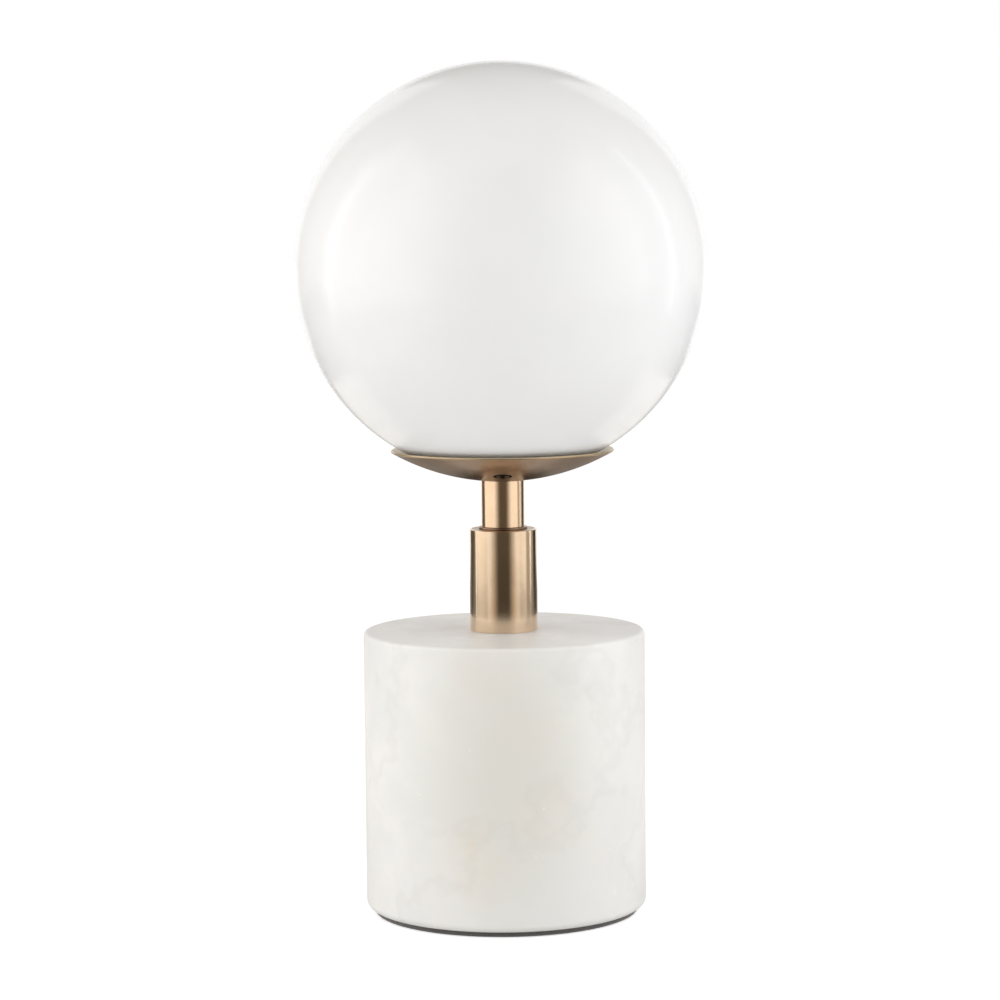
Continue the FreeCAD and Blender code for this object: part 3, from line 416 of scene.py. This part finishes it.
class Turning:
    """A piece turned about the lamp's axis from the corners of its section."""

    def __init__(self, *corners):
        self.mesh = bmesh.new()
        self.first = None
        self.last = None
        self.to(*corners)

    def to(self, *corners):
        """On to each corner, a radius and a level, in straight runs."""
        for radius, level in corners:
            corner = self.mesh.verts.new((radius, 0, level))
            if self.last:
                self.mesh.edges.new((self.last, corner))
            self.first = self.first or corner
            self.last = corner
        return self

    def swing(self, centre, end, steps):
        """On along an arc about a level on the axis, to an angle from straight down."""
        start = math.atan2(self.last.co.x, centre - self.last.co.z)
        arc = bmesh.ops.spin(self.mesh, geom=[self.last], cent=(0, 0, centre),
                             axis=(0, 1, 0), angle=start - end, steps=steps)
        self.last = arc["geom_last"][0]
        return self

    def turn(self, steps=ROUND):
        """Closes the section and turns it all the way round."""
        if self.last is not self.first:
            self.mesh.edges.new((self.last, self.first))
        section = self.mesh.verts[:] + self.mesh.edges[:]
        bmesh.ops.spin(self.mesh, geom=section, cent=(0, 0, 0), axis=(0, 0, 1),
                       angle=2 * math.pi, steps=steps, use_merge=True)
        bmesh.ops.remove_doubles(self.mesh, verts=self.mesh.verts, dist=0.001 * MM)
        bmesh.ops.recalc_face_normals(self.mesh, faces=self.mesh.faces)
        return self

    def soften(self, width, *corners, segments=4):
        """Rounds the ring edges that lie at the given corners of the section."""
        def lies_at(vert, corner):
            radius = math.hypot(vert.co.x, vert.co.y)
            return math.dist((radius, vert.co.z), corner) < 0.002 * MM
        rings = []
        for corner in corners:
            rings += [edge for edge in self.mesh.edges
                      if all(lies_at(vert, corner) for vert in edge.verts)]
        bmesh.ops.bevel(self.mesh, geom=rings, offset=width, offset_type="OFFSET",
                        affect="EDGES", segments=segments, profile=0.5, material=-1,
                        clamp_overlap=True)


def show(name, mesh, body, finish, nodes, crease=38):
    """Makes a piece of a finished mesh and sets it in the place of its CAD nodes.
    Edges bent by more than the crease, in degrees, stay sharp."""
    data = mesh_data(name, mesh)
    data.materials.append(finish)
    data.shade_smooth()
    data.set_sharp_from_angle(angle=math.radians(crease))
    piece = set_down(name, data)
    weigh = piece.modifiers.new("even_shading", "WEIGHTED_NORMAL")
    weigh.keep_sharp = True
    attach(piece, body)
    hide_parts(*nodes)


def drill(mesh, cutters):
    """Cuts round holes out of a mesh. Each cutter is a matrix, radius and length."""
    blank = set_down("blank", mesh_data("whole", mesh))
    tools = []
    for place, radius, length in cutters:
        tool_mesh = bmesh.new()
        bmesh.ops.create_cone(tool_mesh, cap_ends=True, segments=64, radius1=radius,
                              radius2=radius, depth=length, matrix=place)
        tool = set_down("tool", mesh_data("tool", tool_mesh))
        cut = blank.modifiers.new("cut", "BOOLEAN")
        cut.operation = "DIFFERENCE"
        cut.solver = "EXACT"
        cut.object = tool
        tools.append(tool)
    bpy.context.view_layer.update()
    result = blank.evaluated_get(bpy.context.evaluated_depsgraph_get()).to_mesh()
    drilled = bmesh.new()
    drilled.from_mesh(result)
    bmesh.ops.remove_doubles(drilled, verts=drilled.verts, dist=SLIVER)
    bmesh.ops.dissolve_degenerate(drilled, edges=drilled.edges, dist=SLIVER)
    for item in tools + [blank]:
        bpy.data.objects.remove(item)
    return drilled


def make_pad():
    radius, foot, top = reach("base_pad")
    pad = Turning((0, foot), (radius, foot), (radius, top), (0, top)).turn()
    pad.soften(0.5 * MM, (radius, foot), (radius, top), segments=3)
    show("pad", pad.mesh, "stand", PAD, ["base_pad"])


def make_marble():
    radius, foot, top = reach("marble_base")
    cavity = 38 * MM
    ceiling = top - 32 * MM
    recess = 52 * MM
    ledge = foot + 2.5 * MM
    block = Turning((recess, foot), (radius, foot), (radius, top), (ROD_HOLE, top),
                    (ROD_HOLE, ceiling), (cavity, ceiling), (cavity, ledge),
                    (recess, ledge)).turn(WIDE_ROUND)
    block.soften(4 * MM, (radius, foot), segments=8)
    block.soften(2 * MM, (radius, top), segments=6)
    cord_level = foot + 16 * MM
    level = Matrix.Rotation(math.radians(90), 4, "X")
    bush_seat = Matrix.Translation((0, radius, cord_level)) @ level
    cord_hole = Matrix.Translation((0, 50 * MM, cord_level)) @ level
    cut = drill(block.mesh, [(bush_seat, 8.05 * MM, 4 * MM),
                             (cord_hole, 5.05 * MM, 50 * MM)])
    show("marble", cut, "stand", MARBLE, ["marble_base"], crease=30)


def make_grommet():
    low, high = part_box("cord_grommet")
    level = (low[2] + high[2]) / 2
    length = high[1] - low[1]
    shoulder = length - 3 * MM
    bore, neck, flange = 3.3 * MM, 5 * MM, 8 * MM
    bush = Turning((bore, 0), (neck, 0), (neck, shoulder), (flange, shoulder),
                   (flange, length), (bore, length)).turn(72)
    bush.soften(0.8 * MM, (flange, length), (bore, length))
    bush.soften(0.3 * MM, (flange, shoulder), (neck, 0), segments=2)
    to_back = Matrix.Rotation(-math.pi / 2, 4, "X")
    place = Matrix.Translation((0, low[1], level)) @ to_back
    bmesh.ops.transform(bush.mesh, matrix=place, verts=bush.mesh.verts)
    show("grommet", bush.mesh, "stand", GROMMET, ["cord_grommet"])


def make_sleeve():
    radius, foot, top = reach("stem_sleeve")
    shelf = top - 3 * MM
    bore = radius - 2.4 * MM
    rim = radius - 1.2 * MM
    sleeve = Turning((bore, foot), (radius, foot), (radius, top), (rim, top),
                     (rim, shelf), (bore, shelf)).turn()
    sleeve.soften(0.6 * MM, (radius, top))
    sleeve.soften(0.35 * MM, (radius, foot), segments=3)
    sleeve.soften(0.15 * MM, (rim, top), segments=2)
    show("sleeve", sleeve.mesh, "stand", SLEEVE_BRASS, ["stem_sleeve"])


def make_sleeve_cap():
    radius, foot, top = reach("sleeve_cap")
    cap = Turning((ROD_HOLE, foot), (radius, foot), (radius, top),
                  (ROD_HOLE, top)).turn()
    cap.soften(0.3 * MM, (radius, top))
    show("sleeve_disc", cap.mesh, "stand", JOINT_SHADE_BRASS, ["sleeve_cap"])


def make_tube_seat():
    radius, foot, top = reach("tube_seat")
    ledge = foot + 1 * MM
    spigot = 8.95 * MM
    seat = Turning((ROD_HOLE, foot), (radius, foot), (radius, ledge), (spigot, ledge),
                   (spigot, top), (ROD_HOLE, top)).turn()
    seat.soften(0.3 * MM, (radius, ledge))
    seat.soften(0.15 * MM, (radius, foot), segments=2)
    show("tube_foot", seat.mesh, "stand", JOINT_SHADE_BRASS, ["tube_seat"])


def make_tube():
    radius, foot, top = reach("neck_tube")
    bore = radius - 1.5 * MM
    tube = Turning((bore, foot), (radius, foot), (radius, top), (bore, top)).turn()
    tube.soften(0.25 * MM, (radius, foot), (radius, top), segments=3)
    show("tube", tube.mesh, "stand", ROSE_BRASS, ["neck_tube"])


def make_dish():
    radius, foot, _ = reach("shade_dish")
    flat = 12 * MM
    centre = (radius ** 2 + DISH_RISE ** 2 - flat ** 2) / (2 * DISH_RISE)
    middle = foot + centre
    outer = math.hypot(flat, centre)
    inner = outer - DISH_WALL
    inner_flat = math.sqrt(inner ** 2 - (centre - DISH_WALL) ** 2)
    rim = math.atan2(radius, centre - DISH_RISE)
    seat = math.atan2(inner_flat, centre - DISH_WALL)
    lip = (inner * math.sin(rim), middle - inner * math.cos(rim))
    dish = Turning((ROD_HOLE, foot), (flat, foot)).swing(middle, rim, 40)
    dish.to(lip).swing(middle, seat, 40)
    dish.to((ROD_HOLE, foot + DISH_WALL)).turn(WIDE_ROUND)
    dish.soften(0.4 * MM, (radius, foot + DISH_RISE), lip)
    holes = []
    for angle in VENT_ANGLES:
        across = VENT_CIRCLE * math.cos(angle), VENT_CIRCLE * math.sin(angle)
        place = Matrix.Translation((*across, foot + 6 * MM))
        holes.append((place, VENT_RADIUS, 16 * MM))
    cut = drill(dish.mesh, holes)
    show("dish", cut, "stand", DISH_BRASS, ["shade_dish"], crease=30)


def make_globe():
    outer, _, top = reach("globe_shade")
    middle = top - outer
    wall = 2.6 * MM
    inner = outer - wall
    mouth = 38 * MM
    outside = math.asin(mouth / outer)
    inside = math.asin(mouth / inner)
    outer_lip = (outer * math.sin(outside), middle - outer * math.cos(outside))
    inner_lip = (inner * math.sin(inside), middle - inner * math.cos(inside))
    globe = Turning(outer_lip).swing(middle, math.pi, 96)
    globe.to((0, top - wall)).swing(middle, inside, 96)
    globe.turn(WIDE_ROUND)
    globe.soften(0.9 * MM, outer_lip, inner_lip)
    show("globe", globe.mesh, "globe", OPAL, ["globe_shade"], crease=60)


def press_flutes(mesh, radius, low, high, every):
    """Presses upright flutes into the turned face between two levels. One face in every
    so many is left as the ridge between two flutes."""
    flutes = []
    for face in mesh.faces:
        middle = face.calc_center_median()
        if low < middle.z < high and math.hypot(middle.x, middle.y) > radius - 0.1 * MM:
            share = math.atan2(middle.y, middle.x) / (2 * math.pi) + 1
            if round(share * ROUND - 0.5) % every:
                flutes.append(face)
    bmesh.ops.inset_region(mesh, faces=flutes, thickness=0.25 * MM, depth=-0.4 * MM,
                           use_even_offset=True)


def make_holder_cup():
    """The lampholder's lower half, with flutes to hold it by."""
    radius, foot, _ = reach("socket_cap")
    top = foot + 25 * MM
    shelf = foot + 18 * MM
    floor = foot + 3 * MM
    cone = foot + 2 * MM
    bore = radius - 2 * MM
    well = 14 * MM
    cup = Turning((ROD_HOLE, foot), (bore, foot), (radius, cone),
                  (radius, foot + 4 * MM), (radius, foot + 20 * MM), (radius, top),
                  (bore, top), (bore, shelf), (well, shelf), (well, floor),
                  (ROD_HOLE, floor)).turn()
    cup.soften(0.5 * MM, (bore, foot), (radius, cone), segments=3)
    cup.soften(0.3 * MM, (radius, top), segments=2)
    press_flutes(cup.mesh, radius, foot + 5 * MM, foot + 19 * MM, 4)
    show("holder_cup", cup.mesh, "stand", BLACK, ["socket_cap"],
         crease=30)


def make_holder_body():
    """The lampholder's upper half, with the rolled grooves of its shade ring thread."""
    radius, foot, top = reach("socket_body")
    bore = 14.35 * MM
    spigot = radius - 2.05 * MM
    shoulder = foot + 2 * MM
    groove = radius - 0.55 * MM
    pitch = 2.4 * MM
    chamfer = 1 * MM
    body = Turning((bore, foot), (spigot, foot), (spigot, shoulder), (radius, shoulder))
    level = shoulder + 5 * MM
    while level < top - 6 * MM:
        body.to((radius, level), (groove, level + 0.7 * MM), (groove, level + 1.1 * MM),
                (radius, level + 1.8 * MM))
        level += pitch
    body.to((radius, top - chamfer), (radius - chamfer, top), (bore, top)).turn()
    body.soften(0.3 * MM, (radius, shoulder), (radius, top - chamfer),
                (radius - chamfer, top), (bore, top), segments=2)
    show("holder_body", body.mesh, "stand", BLACK, ["socket_body"],
         crease=30)


make_pad()
make_marble()
make_grommet()
make_sleeve()
make_sleeve_cap()
make_tube_seat()
make_tube()
make_dish()
make_globe()
make_holder_cup()
make_holder_body()


# ------------------------------------------------------------------ stage and camera

# The colour of the light off the studio's cards, and off those in front of the lamp.
CARD_TINT = (1, 0.94, 0.86)
WARM_TINT = (1, 0.8, 0.58)
WHITE_LIGHT = (1, 1, 1)
BOX_SIZE = 2.1
STRIP_WIDTH = 0.08
# Where the front cards stand, and how high the tall cards are.
FRONT = -1.2
CARD_TOP = 2.6
# The lamp's middle, which the strips of light look at.
LAMP_MIDDLE = Vector((0, 0, 0.3))


def stage_tree(owner):
    """The nodes of a stage material or of the world, all taken out."""
    owner.use_nodes = True
    tree = Finish(owner.node_tree)
    for node in list(tree.nodes):
        tree.nodes.remove(node)
    return tree


def seen(tree):
    """1 for the rays by which the camera, metal and glass see the stage, and else 0."""
    rays = tree.node("LightPath")
    outputs = rays.socket.node.outputs
    return (Wire(tree, outputs["Is Camera Ray"]) + Wire(tree, outputs["Is Glossy Ray"])
            + Wire(tree, outputs["Is Transmission Ray"]))


def make_floor():
    """A pale floor that keeps the lamp's own soft shadow."""
    mesh = bmesh.new()
    bmesh.ops.create_circle(mesh, cap_ends=True, segments=96, radius=14,
                            matrix=Matrix.Translation((0, 0, -0.0002)))
    data = mesh_data("floor", mesh)
    floor = set_down("floor", data)
    material = bpy.data.materials.new("pale_floor")
    tree = stage_tree(material)
    matt = tree.node("BsdfDiffuse", {}, {"Color": (0.92, 0.92, 0.92, 1)})
    glow = tree.node("Emission", {}, {"Color": (*WHITE_LIGHT, 1),
                                      "Strength": 0.5 * seen(tree)})
    both = tree.node("AddShader", {}, {"Shader": matt, "Shader_001": glow})
    tree.node("OutputMaterial", {}, {"Surface": both})
    data.materials.append(material)


def make_world(ambient):
    """A white background that lights the lamp only by the ambient share of itself."""
    world = bpy.context.scene.world or bpy.data.worlds.new("studio")
    bpy.context.scene.world = world
    tree = stage_tree(world)
    glow = ambient + (1 - ambient) * seen(tree)
    sky = tree.node("Background", {}, {"Color": (*WHITE_LIGHT, 1), "Strength": glow})
    tree.node("OutputWorld", {}, {"Surface": sky})


def make_card(name, width, height, place, glow, tint=CARD_TINT, shades=False):
    """A studio card that only the shiny finishes mirror. One that shades also keeps the
    background's light off the lamp."""
    mesh = bmesh.new()
    bmesh.ops.create_grid(mesh, x_segments=1, y_segments=1, size=0.5)
    bmesh.ops.scale(mesh, vec=(width, height, 1), verts=mesh.verts)
    bmesh.ops.transform(mesh, matrix=place, verts=mesh.verts)
    data = mesh_data(name, mesh)
    card = set_down(name, data)
    material = bpy.data.materials.new(name)
    tree = stage_tree(material)
    face = tree.node("Emission", {}, {"Color": (*tint, 1), "Strength": glow})
    tree.node("OutputMaterial", {}, {"Surface": face})
    data.materials.append(material)
    card.visible_camera = False
    card.visible_diffuse = shades
    card.visible_shadow = False
    card.visible_transmission = False


def make_lamp(name, width, height, place, level, colour, mirrored=False):
    """A flat lamp. Its level is how bright its face is, where white is 1."""
    light = bpy.data.lights.new(name, "AREA")
    light.shape = "RECTANGLE"
    light.size = width
    light.size_y = height
    light.energy = level * math.pi * width * height
    light.color = colour
    lamp = set_down(name, light)
    lamp.matrix_world = place
    lamp.visible_camera = False
    lamp.visible_glossy = mirrored


def facing(place, towards):
    """A place whose -Z looks towards a point."""
    look = (Vector(towards) - Vector(place)).to_track_quat("-Z", "Y")
    return Matrix.Translation(place) @ look.to_matrix().to_4x4()


def stand_card(name, low, high, axis, level, glow, tint=CARD_TINT, foot=0.0,
               top=CARD_TOP):
    """An upright card across one axis at a level, from low to high along the other."""
    along, height = (low + high) / 2, top - foot
    up = foot + height / 2
    if axis == "X":
        place, towards = (level, along, up), (0, along, up)
    else:
        place, towards = (along, level, up), (along, 0, up)
    make_card(name, high - low, height, facing(place, towards), glow, tint)


def standing(foot, head):
    """A place midway between two points, its Y along them, that looks at the lamp."""
    foot, head = Vector(foot), Vector(head)
    middle = (foot + head) / 2
    up = (head - foot).normalized()
    back = middle - LAMP_MIDDLE
    back = (back - up * back.dot(up)).normalized()
    turn = Matrix((up.cross(back), up, back)).transposed().to_4x4()
    return Matrix.Translation(middle) @ turn


def make_studio():
    make_floor()
    make_world(0.66)

    # Two soft boxes before the lamp, which light it and are not mirrored.
    between = (0, -0.62, 0.95)
    for name, side, level, colour in (("left_box", -1.0, 0.94, (1, 0.995, 0.985)),
                                      ("right_box", 1.0, 0.99, (0.962, 0.976, 1))):
        place = facing((side, *between[1:]), between)
        make_lamp(name, BOX_SIZE, BOX_SIZE, place, level, colour)

    # Two strips of light at its sides, which the brass and the glass mirror.
    make_lamp("left_strip", STRIP_WIDTH, 1.2,
              standing((-1.0, 0.3, 0.0), (-1.0, 0.14, 1.15)), 1.3, WHITE_LIGHT,
              mirrored=True)
    make_lamp("right_strip", STRIP_WIDTH, 1.4,
              standing((1.0, 0.27, 0.03), (1.0, 0.22, 1.44)), 1.5, WHITE_LIGHT,
              mirrored=True)

    # Cards around the lamp, which draw the dark and pale stripes on the brass.
    stand_card("front_card", -0.43, 0.43, "Y", FRONT, 0.1, WARM_TINT)
    for level, width, length, glow in ((0.0013, 1.9, 0.55, 0.6),
                                       (0.0016, 1.2, 0.7, 0.25),
                                       (0.0019, 0.76, 0.9, 0.02)):
        make_card("front_floor_card", width, length,
                  Matrix.Translation((0, length / 2 + FRONT, level)), glow, WARM_TINT)
    for near, far, glow in ((0.43, 0.6, 0.22), (0.6, 0.8, 0.5), (0.8, 1.02, 0.8)):
        stand_card("front_right_card", near, far, "Y", FRONT, glow)
        stand_card("front_left_card", -far, -near, "Y", FRONT, glow)
    stand_card("left_reflector", -1.1, 0.3, "X", -1.3, 1.2)
    stand_card("right_reflector", -1.1, -0.12, "X", 1.3, 1.15)
    stand_card("right_card", -0.12, 0.72, "X", 1.2, 0.42)
    stand_card("back_left_card", -1.75, -0.5, "Y", 0.73, 0.45)
    stand_card("back_right_card", 0.5, 1.6, "Y", 0.73, 0.45)
    stand_card("low_left_card", -1.75, -0.5, "Y", 0.72, 0.08, top=0.2)
    stand_card("low_right_card", 0.5, 1.6, "Y", 0.72, 0.04, top=0.2)
    stand_card("high_back_card", -0.22, 0.22, "Y", 0.75, 0.25, foot=0.68)

    # Cards over the lamp and laid on the floor, one a little over the other.
    make_card("ceiling_card", 4.0, 4.0, Matrix.Translation((0, 0, 2.2)), 0.42,
              shades=True)
    make_card("floor_card", 2.4, 1.6, Matrix.Translation((0, 0.1, 0.001)), 0.4)
    make_card("far_floor_card", 5.4, 1.1, Matrix.Translation((0.2, 0.75, 0.0012)), 0.22)
    for width, glow, level in ((0.9, 1.0, 0.0014), (0.34, 0.3, 0.0017),
                               (0.12, 0.0, 0.002)):
        make_card("back_floor_card", width, 0.66, Matrix.Translation((0, 0.46, level)),
                  glow)


def make_camera():
    """A long lens at the front that looks a little down, rolled by the lamp's lean."""
    down, lean = 5.47, -0.54
    lens = bpy.data.cameras.new("camera")
    lens.lens = 120
    lens.sensor_width = 36
    camera = set_down("camera", lens)
    tilt = Matrix.Rotation(math.radians(90 - down), 4, "X")
    roll = Matrix.Rotation(math.radians(lean), 4, "Z")
    camera.matrix_world = Matrix.Translation((-0.00137, -1.611, 0.3555)) @ tilt @ roll
    bpy.context.scene.camera = camera


make_studio()
make_camera()
bpy.context.scene.view_settings.view_transform = "Standard"

# The CAD nodes that are shown as they are, and their finishes.
NODE_FINISHES = {
    "bottom_plate": STEEL, "plate_screws": STEEL, "plate_anchors": WHITE,
    "terminal_block": WHITE, "block_screws": STEEL, "threaded_rod": ROD_STEEL,
    "rod_nuts": NICKEL, "clamp_washer": STEEL, "lock_washer": SPRING_STEEL,
    "dish_washer": STEEL, "sleeve_locator": STEEL, "tube_bush": STEEL,
    "globe_gasket": SILICONE, "clip_spider": SPRING_STEEL, "socket_core": PORCELAIN,
    "screw_shell": NICKEL, "centre_contact": CONTACT_BRASS,
    "socket_screws": CONTACT_BRASS, "bulb_contact": NICKEL,
    "bulb_insulator": BLACK_GLASS, "bulb_cap": NICKEL, "bulb_housing": WHITE,
    "bulb_board": ALUMINIUM, "bulb_driver": BOARD, "bulb_diffuser": DIFFUSER,
    "lead_live": BROWN_LEAD, "lead_neutral": BLUE_LEAD,
}
for node, finish in NODE_FINISHES.items():
    for material_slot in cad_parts[node].material_slots:
        material_slot.material = finish
